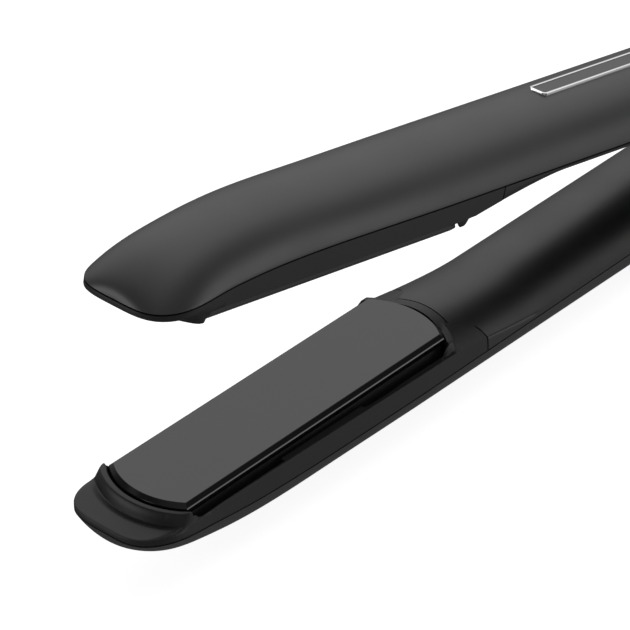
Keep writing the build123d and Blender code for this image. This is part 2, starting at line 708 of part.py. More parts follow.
with BuildPart() as tact_switch:
    with BuildSketch(Plane.XY.offset(BOARD_TOP_Z)):
        with Locations((BUTTON_X, 0)):
            Rectangle(6, 6)
    extrude(amount=3.6)
    with BuildSketch(Plane.XY.offset(BOARD_TOP_Z + 3.6)):
        with Locations((BUTTON_X, 0)):
            Circle(1.6)
    extrude(amount=1.2)
save(tact_switch, "tact_switch")

with BuildPart() as power_button:
    with BuildSketch(Plane.XY.offset(MID_Z - 7)):
        with Locations((BUTTON_X, 0)):
            RectangleRounded(BUTTON_LENGTH, BUTTON_WIDTH, BUTTON_WIDTH / 2 - 0.1)
    extrude(amount=3.3)
    chamfer(power_button.faces().sort_by(Axis.Z)[-1].edges(), length=0.4)
    with BuildSketch(Plane.XY.offset(MID_Z - 7)):
        with Locations((BUTTON_X, 0)):
            RectangleRounded(BUTTON_LENGTH + 2, BUTTON_WIDTH + 1.6, 2)
    extrude(amount=-0.7)
    with BuildSketch(Plane.XY.offset(MID_Z - 7.7)):
        with Locations((BUTTON_X, 0)):
            Circle(1.2)
    extrude(amount=-0.5)
save(power_button, "power_button")

with BuildPart() as indicator_lens:
    with BuildSketch(Plane.XY.offset(BOARD_TOP_Z + 1.6)):
        with Locations((LENS_X, 0)):
            Circle(LENS_RADIUS)
    extrude(amount=MID_Z - 4.5 - BOARD_TOP_Z - 1.6)
save(indicator_lens, "indicator_lens")


# ---------------------------------------------------------------- cord swivel
with BuildPart() as cord_swivel:
    for start, end, radius in (
        (SWIVEL_START_X, SWIVEL_START_X + 2, SWIVEL_FLANGE_RADIUS),
        (SWIVEL_START_X + 2, SHELL_END_X + 0.3, SWIVEL_NECK_RADIUS),
        (SHELL_END_X + 0.3, SWIVEL_END_X, SWIVEL_COLLAR_RADIUS),
    ):
        with BuildSketch(Plane.YZ.offset(start)):
            with Locations((0, SWIVEL_Z)):
                Circle(radius)
        extrude(amount=end - start)
    chamfer(cord_swivel.faces().sort_by(Axis.X)[-1].edges(), length=1.2)
    with BuildSketch(Plane.YZ.offset(SWIVEL_START_X)):
        with Locations((0, SWIVEL_Z)):
            Circle(CORD_RADIUS)
    extrude(amount=SWIVEL_END_X - SWIVEL_START_X, mode=Mode.SUBTRACT)
save(cord_swivel, "cord_swivel")

with BuildPart() as swivel_clamp:
    for gap, way in ((0.05, 1), (-0.05, -1)):
        with BuildSketch(Plane.YZ.offset(SWIVEL_START_X - 1.2)):
            with Locations((0, SWIVEL_Z)):
                Circle(SWIVEL_FLANGE_RADIUS + 1.0)
            with Locations((0, SWIVEL_Z + gap + way * 10)):
                Rectangle(20, 20, mode=Mode.INTERSECT)
        extrude(amount=4.4)
    for start, length, radius in (
        (SWIVEL_START_X - 2, 10, SWIVEL_NECK_RADIUS + 0.3),
        (SWIVEL_START_X - 0.3, 2.6, SWIVEL_FLANGE_RADIUS + 0.3),
    ):
        with BuildSketch(Plane.YZ.offset(start)):
            with Locations((0, SWIVEL_Z)):
                Circle(radius)
        extrude(amount=length, mode=Mode.SUBTRACT)
save(swivel_clamp, "swivel_clamp")


# ---------------------------------------------------------------- screws
def screws(places, seat_z, head_radius, head_height, shank_radius, shank_length):
    """A group of pan-head screws whose heads sit on seat_z."""
    with BuildPart() as group:
        with BuildSketch(Plane.XY.offset(seat_z)):
            with Locations(*places):
                Circle(head_radius)
        extrude(amount=head_height)
        with BuildSketch(Plane.XY.offset(seat_z)):
            with Locations(*places):
                Circle(shank_radius)
        extrude(amount=-shank_length)
    return group


save(screws([(x, 0) for x in BAR_X], BAR_TOP_Z, 2.2, 1.1, 1.1, 6.5), "housing_screws", BOTH)
save(screws(COVER_SCREW_PLACES, COVER_SCREW_SEAT_Z, 2.0, 1.3, 1.0, 6.5), "cover_screws", BOTH)
save(screws(BOARD_SCREW_PLACES, BOARD_TOP_Z, 1.7, 1.0, 0.9, 4.5), "board_screws")
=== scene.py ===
"""Looks of a hair straightener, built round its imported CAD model.

Smooth arms, plates, hinge and trim replace the CAD's outer pieces; inner pieces only get a finish.
Forms are worked out in millimetres on the lower arm, in the row frame, and scaled to metres when
a piece is made. The upper arm's pieces are mirrored in the jaw's mid-plane and turned about the
hinge.
"""

import math

import bmesh
import bpy
import numpy as np
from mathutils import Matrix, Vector


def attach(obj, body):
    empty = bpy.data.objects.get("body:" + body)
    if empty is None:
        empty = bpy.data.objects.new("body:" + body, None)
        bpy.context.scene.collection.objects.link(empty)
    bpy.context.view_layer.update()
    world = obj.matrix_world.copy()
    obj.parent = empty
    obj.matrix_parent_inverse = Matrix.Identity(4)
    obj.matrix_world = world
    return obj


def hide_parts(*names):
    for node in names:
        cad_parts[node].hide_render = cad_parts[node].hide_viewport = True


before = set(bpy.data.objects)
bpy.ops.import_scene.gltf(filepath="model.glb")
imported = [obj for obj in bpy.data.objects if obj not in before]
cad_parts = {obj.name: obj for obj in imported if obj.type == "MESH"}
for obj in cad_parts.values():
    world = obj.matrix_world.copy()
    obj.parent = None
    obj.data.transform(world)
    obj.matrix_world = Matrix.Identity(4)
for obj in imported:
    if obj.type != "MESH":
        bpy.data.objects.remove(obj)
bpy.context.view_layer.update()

# ---------------------------------------------------------------- dimensions, in millimetres
# The whole arm
TIP_X, HINGE_X, SHELL_END_X = -131.55, 110.0, 124.0
MID_Z = 22.3  # the plane between the arms when the jaw is closed
OPEN_ANGLE = math.radians(12.07)
HALF_WIDTH, END_ROUND = 15.9, 1.6
TIP_ROUND, TIP_POWER = 30.0, 3.9  # length and superellipse power of the tip, seen from above
NOSE_ROUND, NOSE_POWER = 21.0, 2.8  # the same of the nose, seen from the side
FRONT_X, CROWN_DEPTH, CROWN_SLOPE = -55.75, 21.8, 0.0136
REAR_RUN_X = 104.0  # where the finer stations of the rear end begin

# Shell, housing and cover
SHELL_WALL, SHELL_FLOOR, COVER_WALL, COVER_END_WALL, SEAM_GAP = 1.5, 1.4, 1.6, 2.0, 0.4
COVER_SIDE = 0.4  # how far the arched top stops short of the cover's side
COVER_FRONT_RUN = 16.0  # length over which the cover's sections change from its edge to flat
SPLIT_X, SPLIT_RADIUS, SPLIT_SET_BACK = -11.45, 26.0, 31.25
SPLIT_ARC_Y = 10.0  # the split line is an arc up to here, and steps back beyond it
WALL_LEAN, WALL_REACH, LIP = 0.2, 2.0, 1.5  # lean, zone and underside of the housing's side wall

# Heating plate and its well
PLATE_X, PLATE_LENGTH, PLATE_HALF_WIDTH, PLATE_END_RADIUS = -70.6, 90.3, 11.5, 19.0
PLATE_BEVEL, PLATE_THICKNESS, PLATE_GAP = 1.1, 3.2, 0.15
SIDE_GAP, END_GAP = 0.5, 0.3
WELL_RADIUS = PLATE_END_RADIUS + PLATE_BEVEL + END_GAP
WELL_HALF_WIDTH = PLATE_HALF_WIDTH + PLATE_BEVEL + SIDE_GAP
WELL_FLOOR_Z, WELL_FLOOR = MID_Z - 9.4, 0.7
ARC_INSET = PLATE_LENGTH / 2 - math.sqrt(PLATE_END_RADIUS**2 - PLATE_HALF_WIDTH**2)
FRONT_ARC_X, REAR_ARC_X = PLATE_X - ARC_INSET, PLATE_X + ARC_INSET

# Raised rims round the plate's ends: radius and half width of the crest, how far it lies under
# MID_Z, how steeply it falls off, how far it drops at the arm's side, and the |y| where that ends
FRONT_RIDGE = (21.55, 0.4, 1.15, 1.15, 6, 15.2)
REAR_RIDGE = (21.5, 0.55, 1.85, 1.6, 5, 15.6)

# Small parts
BUTTON_X, LENS_X = 89.0, 78.5
SWIVEL_Z, SWIVEL_OPENING = MID_Z - 12.2, 3.8
SCREW_X, SCREW_Y, SCREW_SEAT_Z, SCREW_WELL = 98.25, 9.8, MID_Z - 9.0, 2.25
EYE_RADIUS, EYE_GAP, EYE_DROP = 8.0, 0.4, 9.4
CHEEK_Y, KNUCKLE_Y, CHEEK_BORE, KNUCKLE_BORE = (8.4, 13.4), (4.2, 8.1), 2.05, 3.62
INLAY_X, INLAY_WIDTH, INLAY_CORNER = (17.5, 92.0), 5.4, 1.2
INLAY_RIM, INLAY_RISE, INLAY_SINK = 0.7, 0.55, 0.5


# ---------------------------------------------------------------- the arms' form
def ramp(x, start, end):
    return np.clip((np.asarray(x, float) - start) / (end - start), 0, 1)


def ease(x, start, end):
    """0 before start and 1 after end, with a smooth run between them."""
    t = ramp(x, start, end)
    return t * t * (3 - 2 * t)


def superellipse(t, power):
    return np.maximum(1 - np.asarray(t, float) ** power, 0) ** (1 / power)


def soft_min(a, b, k):
    """The lower of two heights, rounded over where they meet within k."""
    h = np.clip(0.5 + 0.5 * (b - a) / k, 0, 1)
    return b * (1 - h) + a * h - k * h * (1 - h)


def soft_max(a, b, k):
    return -soft_min(-a, -b, k)


def front_share(x, length):
    return np.maximum((FRONT_X - np.asarray(x, float)) / length, 0)


def rear_rounding(x):
    return superellipse(ramp(x, HINGE_X - 6, SHELL_END_X + 4), 3)


def end_inset(x):
    """How far the rounded edge of the rear end has drawn in at x."""
    t = ramp(x, SHELL_END_X - END_ROUND, SHELL_END_X)
    return END_ROUND * (1 - np.sqrt(1 - t * t))


def half_width(x, inset=0.0):
    """Half the arm's width at its seam: it narrows a little beside the plate."""
    tip = superellipse(ramp(x, TIP_X + TIP_ROUND, TIP_X + inset), TIP_POWER)
    side = HALF_WIDTH - 1.1 * ramp(x, -35.0, -107.0) + 0.9 * ease(x, -108.0, -124.0)
    return (side - inset) * tip * rear_rounding(x) - end_inset(x)


def seam_z(x):
    """The line where shell and housing meet; it rises towards the tip."""
    t = ramp(x, -62.0, TIP_X)
    return MID_Z - 10.5 + 5.1 * t**2.65 * (1 + 2.4 * (1 - t) * t**3)


def crown_z(x, inset=0.0):
    """The arm's outer middle line; its depth shrinks towards the tip."""
    depth = CROWN_DEPTH + CROWN_SLOPE * (np.asarray(x, float) - FRONT_X)
    depth = depth - 4.54 * front_share(x, 60) ** 3.68 - inset
    depth = depth + 0.45 * ease(x, -60.0, -95.0)
    nose = superellipse(ramp(x, TIP_X + NOSE_ROUND, TIP_X + inset), NOSE_POWER) * rear_rounding(x)
    return seam_z(x) - (depth - (MID_Z - seam_z(x))) * nose + end_inset(x)


def wall_top_z(x):
    """The upper edge of the housing's side wall, beside the plate."""
    slope = 0.011 * (np.clip(x, -107.0, -22.0) + 42)
    return MID_Z - 4.45 - slope - 0.35 * ramp(x, -107.0, -116.0)


def cover_rise(x):
    """0 along the handle, and 1 where the cover has risen to the plate's rear rim."""
    return ramp(x, 12.25, -21.75) ** 1.4


def cover_edge_z(x):
    return MID_Z - 9.05 + 4.35 * cover_rise(x) - end_inset(x)


def inner_top_z(x, y):
    """The arched inner surface behind the plate: an arc across the arm over its two side edges."""
    side = half_width(x) - COVER_SIDE
    rise = (4.45 - 0.35 * cover_rise(x)) * rear_rounding(x)
    radius = (side**2 + rise**2) / (2 * rise)
    over_chord = np.sqrt(np.maximum(radius**2 - np.asarray(y, float) ** 2, 0))
    return cover_edge_z(x) + rise - radius + over_chord


def ridge_z(radius, y, crest, half_crest, under_mid, steepness, drop, drop_end):
    """Height of a raised rim at a distance from the centre of the plate's end arc."""
    off_crest = np.maximum(np.abs(radius - crest) - half_crest, 0)
    return MID_Z - under_mid - steepness * off_crest**2 - drop * ease(y, 14.0, drop_end)


def housing_z(x, y, from_side):
    """Height of the housing's inner side; from_side is the distance from the arm's outline."""
    behind = ease(x, -25.3, -22.6)
    at_tip = ease(x, -109.0, -122.0)
    edge = wall_top_z(x) * (1 - behind) + cover_edge_z(x) * behind
    base = seam_z(x) + SEAM_GAP
    y = np.abs(y)
    front_r, rear_r = np.hypot(x - FRONT_ARC_X, y), np.hypot(x - REAR_ARC_X, y)
    before, after = x < FRONT_ARC_X, x > REAR_ARC_X
    top = edge * (1 - behind) + inner_top_z(x, y) * behind + 0.5 * at_tip
    top = top - 0.4 * ease(front_r, 26.0, 23.6) * before * (1 - ease(y, 10.0, 14.5))
    top = soft_max(top, np.where(before, ridge_z(front_r, y, *FRONT_RIDGE), 0), 0.6)
    top = soft_max(top, np.where(after, ridge_z(rear_r, y, *REAR_RIDGE), 0), 0.3)
    beside_well = y - WELL_HALF_WIDTH
    past_well = np.where(x < PLATE_X, front_r, rear_r) - WELL_RADIUS
    well_edge = np.maximum(4.6 * beside_well, 32 * (past_well + 0.4))
    top = soft_min(top, WELL_FLOOR_Z + well_edge, 0.25)
    upright = (edge - base) / WALL_LEAN * from_side
    domed = 1.15 + 2.3 * np.sqrt(1 - (1 - np.clip(from_side / 6.5, 0, 1)) ** 2)
    domed = domed + 2.5 * np.maximum(from_side - 5.8, 0)
    side = base + upright * (1 - at_tip) + domed * at_tip
    return np.maximum(soft_min(top, side, 0.25 + 0.5 * at_tip), np.minimum(top, base))


# ---------------------------------------------------------------- mesh tools
def on_arm(points, arm):
    """Points of the lower arm where they lie on the given arm, in metres."""
    p = np.array(points, float).reshape(-1, 3)
    if arm == "upper":
        dx, dz = p[:, 0] - HINGE_X, MID_Z - p[:, 2]
        c, s = math.cos(OPEN_ANGLE), math.sin(OPEN_ANGLE)
        p = np.stack([HINGE_X + c * dx + s * dz, p[:, 1], MID_Z - s * dx + c * dz], 1)
    return p / 1000


def new_object(name, points, faces, arm, weld):
    """An object with outward normals, from points in millimetres on the lower arm."""
    mesh = bpy.data.meshes.new(name)
    places = [tuple(p) for p in on_arm(points, arm)]
    mesh.from_pydata(places, [], [tuple(int(i) for i in f) for f in faces])
    bm = bmesh.new()
    bm.from_mesh(mesh)
    if weld:
        bmesh.ops.remove_doubles(bm, verts=bm.verts, dist=2e-6)
        bmesh.ops.dissolve_degenerate(bm, edges=bm.edges, dist=1e-6)
    bmesh.ops.recalc_face_normals(bm, faces=bm.faces)
    if bm.calc_volume(signed=True) < 0:
        bmesh.ops.reverse_faces(bm, faces=bm.faces)
    bm.to_mesh(mesh)
    bm.free()
    obj = bpy.data.objects.new(name, mesh)
    bpy.context.scene.collection.objects.link(obj)
    return obj


def make_piece(
    name, points, faces, material, body, slot, nodes=(), arm="lower", sharp=38, bevel=0.0
):
    """A visible piece that rides a body and replaces the named nodes."""
    obj = new_object(name, points, faces, arm, weld=True)
    if bevel:
        modifier = obj.modifiers.new("edges", "BEVEL")
        modifier.width, modifier.segments, modifier.limit_method = bevel / 1000, 2, "ANGLE"
        modifier.angle_limit = math.radians(40)
    finish_mesh(obj, sharp)
    obj.data.materials.append(material)
    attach(obj, body)
    if nodes:
        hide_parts(*nodes)
    return obj


def cutter(points, faces, arm="lower"):
    """A solid to be taken out of a piece."""
    return new_object("cutter", points, faces, arm, weld=False)


def finish_mesh(obj, sharp):
    """Applies the object's modifiers and shades it smooth, except at edges over the given angle."""
    if obj.modifiers:
        graph = bpy.context.evaluated_depsgraph_get()
        mesh = bpy.data.meshes.new_from_object(obj.evaluated_get(graph))
        obj.modifiers.clear()
        obj.data = mesh
    obj.data.shade_smooth()
    obj.data.set_sharp_from_angle(angle=math.radians(sharp))


def cut(obj, *tools, sharp=38):
    """Takes the tools' solids out of obj, and removes the tools."""
    for tool in tools:
        modifier = obj.modifiers.new("cut", "BOOLEAN")
        modifier.operation, modifier.solver, modifier.object = "DIFFERENCE", "MANIFOLD", tool
    finish_mesh(obj, sharp)
    for tool in tools:
        bpy.data.objects.remove(tool)


def sheet_faces(rows, columns, start=0, closed=False):
    """Quads between neighbouring points of a grid stored row by row."""
    spans = columns if closed else columns - 1
    i, j = np.meshgrid(np.arange(rows - 1), np.arange(spans), indexing="ij")
    a, b = start + i * columns + j, start + i * columns + (j + 1) % columns
    return np.stack([a, b, b + columns, a + columns], -1).reshape(-1, 4).tolist()


def trough(outer, inner, open_front):
    """A walled form from two grids (station, across, 3), closed at the rear and both long edges."""
    n, k = outer.shape[:2]
    m = n * k
    faces = sheet_faces(n, k) + sheet_faces(n, k, m)
    for i in range(n - 1):
        for j in (0, k - 1):
            a, b = i * k + j, (i + 1) * k + j
            faces.append((a, b, b + m, a + m))
    last = (n - 1) * k
    faces += [list(range(last, last + k)), list(range(m + last, m + last + k))]
    faces.append((last, last + k - 1, m + last + k - 1, m + last))
    if open_front:
        faces += [(j, j + 1, m + j + 1, m + j) for j in range(k - 1)]
    return np.concatenate([outer.reshape(-1, 3), inner.reshape(-1, 3)]), faces


def turned(profile, centre, axis, segments=64):
    """A solid turned round an axis from (along, radius) points, filled at an open profile's ends."""
    profile = np.array(profile, float)
    angle = np.arange(segments) * 2 * math.pi / segments
    run = np.meshgrid(profile[:, 0], angle, indexing="ij")[0]
    radius = profile[:, 1][:, None]
    a, b = radius * np.cos(angle), radius * np.sin(angle)
    parts = {"x": (run, a, b), "y": (a, run, b), "z": (a, b, run)}[axis]
    points = np.stack([p + c for p, c in zip(parts, centre)], -1)
    faces = sheet_faces(len(profile), segments, closed=True)
    if tuple(profile[0]) != tuple(profile[-1]):
        last = (len(profile) - 1) * segments
        faces += [list(range(segments)), list(range(last, last + segments))]
    return points.reshape(-1, 3), faces


def capped(rings):
    """Points and faces of a solid from closed rings, with its first and last ring filled."""
    n, k = rings.shape[:2]
    faces = sheet_faces(n, k, closed=True) + [list(range(k)), list(range((n - 1) * k, n * k))]
    return rings.reshape(-1, 3), faces


def pill(centre_x, half_length, half_across, corner, rows, segments=12):
    """A solid from rounded rectangles; rows hold (inset, z)."""
    rings = []
    for inset, z in rows:
        r = max(corner - inset, 0.02)
        ring = []
        for sx, sy, a0 in ((1, 1, 0), (-1, 1, 90), (-1, -1, 180), (1, -1, 270)):
            cx = centre_x + sx * (half_length - inset - r)
            cy = sy * (half_across - inset - r)
            for t in np.radians(np.linspace(a0, a0 + 90, segments)):
                ring.append((cx + r * math.cos(t), cy + r * math.sin(t), z))
        rings.append(ring)
    return capped(np.array(rings))


# ---------------------------------------------------------------- materials
NOISE_RANGE = (0.3, 0.7)  # where nearly all of a noise texture's values lie
SLOW_SCALE, GRAIN_HEIGHT = 55, 0.0001  # per metre, and in metres
COLOUR_A, COLOUR_B, COLOUR_OUT = 6, 7, 2  # sockets of the mix node when it mixes colours


def new_material(name):
    material = bpy.data.materials.new(name)
    material.use_nodes = True
    tree = material.node_tree
    shader = tree.nodes["Principled BSDF"]
    place = tree.nodes.new("ShaderNodeTexCoord")
    return material, tree, shader, place.outputs["Object"]


def noise(tree, place, scale, detail=3.0, stretch=None):
    """A noise texture in the object's own coordinates, with its scale per metre."""
    node = tree.nodes.new("ShaderNodeTexNoise")
    node.inputs["Scale"].default_value = scale
    node.inputs["Detail"].default_value = detail
    if stretch:
        mapping = tree.nodes.new("ShaderNodeMapping")
        mapping.inputs["Scale"].default_value = stretch
        tree.links.new(place, mapping.inputs["Vector"])
        place = mapping.outputs["Vector"]
    tree.links.new(place, node.inputs["Vector"])
    return node.outputs["Fac"]


def map_range(tree, value, from_range, to_range, kind="LINEAR"):
    node = tree.nodes.new("ShaderNodeMapRange")
    node.interpolation_type = kind
    sockets = ("From Min", "From Max", "To Min", "To Max")
    for socket, number in zip(sockets, (*from_range, *to_range)):
        node.inputs[socket].default_value = number
    tree.links.new(value, node.inputs["Value"])
    return node.outputs["Result"]


def combined(tree, operation, first, *others):
    """The product or sum of several values."""
    for other in others:
        node = tree.nodes.new("ShaderNodeMath")
        node.operation = operation
        tree.links.new(first, node.inputs[0])
        tree.links.new(other, node.inputs[1])
        first = node.outputs[0]
    return first


def finish_material(
    name, colour, roughness, grain, bump, metallic=0.0, vary=0.12, stretch=None, **sockets
):
    """Slowly varying colour with fine mottle, uneven roughness, and a moulded or brushed grain."""
    material, tree, shader, place = new_material(name)
    slow, fine = noise(tree, place, SLOW_SCALE), noise(tree, place, grain, 4, stretch)
    blend = tree.nodes.new("ShaderNodeMix")
    blend.data_type = "RGBA"
    blend.inputs[COLOUR_A].default_value = (*[c * (1 - vary) for c in colour], 1)
    blend.inputs[COLOUR_B].default_value = (*[min(c * (1 + vary), 1) for c in colour], 1)
    average = tree.nodes.new("ShaderNodeMath")
    average.operation = "MULTIPLY"
    average.inputs[1].default_value = 0.5
    tree.links.new(combined(tree, "ADD", slow, fine), average.inputs[0])
    mottle = map_range(tree, average.outputs[0], NOISE_RANGE, (0, 1))
    tree.links.new(mottle, blend.inputs["Factor"])
    tree.links.new(blend.outputs[COLOUR_OUT], shader.inputs["Base Color"])
    uneven = map_range(tree, slow, NOISE_RANGE, (roughness * 0.92, roughness * 1.08))
    tree.links.new(uneven, shader.inputs["Roughness"])
    relief = tree.nodes.new("ShaderNodeBump")
    relief.inputs["Strength"].default_value = bump
    relief.inputs["Distance"].default_value = GRAIN_HEIGHT
    tree.links.new(fine, relief.inputs["Height"])
    tree.links.new(relief.outputs["Normal"], shader.inputs["Normal"])
    shader.inputs["Metallic"].default_value = metallic
    for socket, value in sockets.items():
        shader.inputs[socket.replace("_", " ")].default_value = value
    return material


SHELL = finish_material("soft_touch_paint", (0.027, 0.027, 0.028), 0.39, 5200, 0.10, IOR=1.5)
HOUSING = finish_material("satin_moulding", (0.012, 0.012, 0.0126), 0.42, 4200, 0.10, IOR=1.36)
COVER = finish_material("satin_cover", (0.0065, 0.0065, 0.007), 0.36, 4800, 0.08, IOR=1.45)
PLATE = finish_material(
    "ceramic_gloss", (0.004, 0.004, 0.0045), 0.06, 2500, 0.015, vary=0.05, IOR=1.52
)
GLOSS = finish_material("gloss_black", (0.006, 0.006, 0.0065), 0.14, 2600, 0.02, IOR=1.5)
CHROME = finish_material(
    "polished_trim", (0.72, 0.72, 0.73), 0.12, 3000, 0.02, metallic=1.0, vary=0.03
)
INSERT = finish_material(
    "brushed_insert", (0.085, 0.085, 0.088), 0.34, 2400, 0.08,
    metallic=0.9, vary=0.08, stretch=(0.03, 1, 1),
)
RUBBER = finish_material("soft_rubber", (0.018, 0.018, 0.018), 0.62, 3600, 0.2, IOR=1.48)
LENS = finish_material("frosted_lens", (0.62, 0.64, 0.66), 0.3, 3000, 0.05, IOR=1.5)
STEEL = finish_material(
    "bright_steel", (0.55, 0.55, 0.56), 0.26, 2600, 0.06, metallic=1.0, stretch=(1, 0.1, 1)
)
BLACK_STEEL = finish_material("black_oxide", (0.03, 0.03, 0.032), 0.38, 3200, 0.08, metallic=0.8)
SPRING = finish_material("oil_tempered_wire", (0.30, 0.29, 0.27), 0.34, 3000, 0.06, metallic=1.0)
CARRIER = finish_material("glass_filled_plastic", (0.014, 0.014, 0.014), 0.6, 3800, 0.25, IOR=1.45)
CERAMIC = finish_material("fired_ceramic", (0.78, 0.76, 0.71), 0.7, 3200, 0.15, IOR=1.6)
FILM = finish_material("amber_film", (0.50, 0.21, 0.03), 0.2, 1500, 0.03, vary=0.08, IOR=1.65)
EPOXY = finish_material("potting_epoxy", (0.05, 0.035, 0.025), 0.45, 2800, 0.12, IOR=1.52)
SILICONE = finish_material("red_silicone", (0.36, 0.07, 0.045), 0.55, 2600, 0.12, IOR=1.42)
SLEEVE = finish_material("woven_sleeve", (0.62, 0.61, 0.57), 0.7, 6500, 0.5, vary=0.2, IOR=1.45)
MAINS = finish_material("blue_sleeve", (0.06, 0.10, 0.36), 0.42, 2400, 0.06, IOR=1.5)
BOARD = finish_material("solder_mask", (0.015, 0.12, 0.045), 0.32, 1800, 0.08, IOR=1.5)
CHIP = finish_material("moulded_epoxy", (0.02, 0.02, 0.021), 0.55, 3400, 0.15, IOR=1.5)
ACETAL = finish_material("natural_acetal", (0.66, 0.63, 0.54), 0.4, 2600, 0.06, IOR=1.48)

# Inner pieces keep their CAD mesh and only get a finish
KEPT_NODES = {
    CARRIER: ("lower_plate_carrier", "upper_plate_carrier"),
    CERAMIC: ("lower_ceramic_heater", "upper_ceramic_heater"),
    FILM: ("lower_insulating_film", "upper_insulating_film"),
    EPOXY: ("lower_thermistor", "upper_thermistor"),
    SILICONE: ("lower_plate_buffers", "upper_plate_buffers"),
    SLEEVE: ("lower_heater_leads", "upper_heater_leads", "hinge_wires"),
    STEEL: (
        "lower_housing_screws", "upper_housing_screws", "board_screws", "hinge_pin",
        "lower_thermal_fuse", "upper_thermal_fuse",
    ),
    BLACK_STEEL: ("lower_cover_screws", "upper_cover_screws"),
    SPRING: ("hinge_spring",),
    BOARD: ("circuit_board",),
    CHIP: ("board_components", "tact_switch", "swivel_clamp"),
    MAINS: ("mains_leads",),
    LENS: ("indicator_lens",),
    ACETAL: ("upper_hinge_bushes",),
}
for finish, names in KEPT_NODES.items():
    for node_name in names:
        for material_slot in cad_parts[node_name].material_slots:
            material_slot.material = finish

# ---------------------------------------------------------------- stations along the arms
def tip_x(turn):
    """Where the tip's outline is at a turn from 0 at the very tip to a right angle at its end."""
    return TIP_X + TIP_ROUND * (1 - np.cos(turn) ** (2 / TIP_POWER))


QUARTER = math.pi / 2
REAR_STATIONS = np.concatenate(
    [
        np.linspace(REAR_RUN_X, SHELL_END_X - END_ROUND, 16)[1:],
        SHELL_END_X - END_ROUND * (1 - np.sin(np.linspace(0, QUARTER, 8)[1:])),
    ]
)
ARM_STATIONS = np.concatenate(
    [
        tip_x(np.linspace(0, QUARTER, 46) ** 1.15 / QUARTER**0.15),
        np.linspace(TIP_X + TIP_ROUND, REAR_RUN_X, 70)[1:],
        REAR_STATIONS,
    ]
)


def shell_grid(x, inset, across=65):
    """Arcs of the outer shell from seam to seam through the crown, at the stations x."""
    w, seam, crown = half_width(x, inset), seam_z(x), crown_z(x, inset)
    w = np.maximum(w, 0)
    deep = np.maximum(seam - crown, 1e-6)
    half_angle = 2 * np.arctan2(deep, np.maximum(w, 1e-9))
    radius = w / np.maximum(np.sin(half_angle), 1e-9)
    radius = np.where(w < 1e-6, 0, radius)
    t = np.linspace(-1, 1, across)
    angle = half_angle[:, None] * t
    y = radius[:, None] * np.sin(angle)
    z = crown[:, None] + radius[:, None] * (1 - np.cos(angle))
    z = np.where((w < 1e-6)[:, None], seam[:, None], z)
    return np.stack([np.repeat(x[:, None], across, 1), y, z], -1)


def swivel_opening():
    rims = [(-6.0, SWIVEL_OPENING), (8.0, SWIVEL_OPENING)]
    return turned(rims, (SHELL_END_X, 0.0, SWIVEL_Z), "x")


def outer_shell(arm):
    outer = shell_grid(ARM_STATIONS, 0.0)
    length = SHELL_END_X - TIP_X
    inner_x = TIP_X + SHELL_WALL + (ARM_STATIONS - TIP_X) * (length - 2 * SHELL_WALL) / length
    inner = shell_grid(inner_x, SHELL_WALL)
    if arm == "lower":
        # The strip that the iron rests on
        outer[..., 2] = np.maximum(outer[..., 2], 0)
        inner[..., 2] = np.maximum(inner[..., 2], SHELL_FLOOR)
    points, faces = trough(outer, inner, open_front=False)
    shell = make_piece(
        f"{arm}_shell_skin", points, faces, SHELL, f"{arm}_arm", "soft_touch_shell",
        [f"{arm}_outer_shell"], arm, sharp=50, bevel=0.22,
    )
    if arm == "lower":
        cut(shell, cutter(*swivel_opening()), sharp=50)


# ---------------------------------------------------------------- heater housing
def along(points, count):
    """count points evenly spaced along a polyline."""
    points = np.array(points, float)
    run = np.concatenate([[0], np.cumsum(np.hypot(*np.diff(points, axis=0).T))])
    at = np.linspace(0, run[-1], count)
    return np.stack([np.interp(at, run, points[:, i]) for i in (0, 1)], 1)


def split_line(count=24):
    """The near half of the line where housing and cover meet, from the arm's side to its middle."""
    shift = SPLIT_X - SEAM_GAP
    y = np.linspace(-10.3, 0, count)
    arc = [(shift - SPLIT_SET_BACK + math.sqrt(SPLIT_RADIUS**2 - v * v), v) for v in y]
    hook = [(shift, -HALF_WIDTH), (shift, -13.5), (shift - 0.3, -12.75), (shift - 0.75, -12.15)]
    return hook + arc


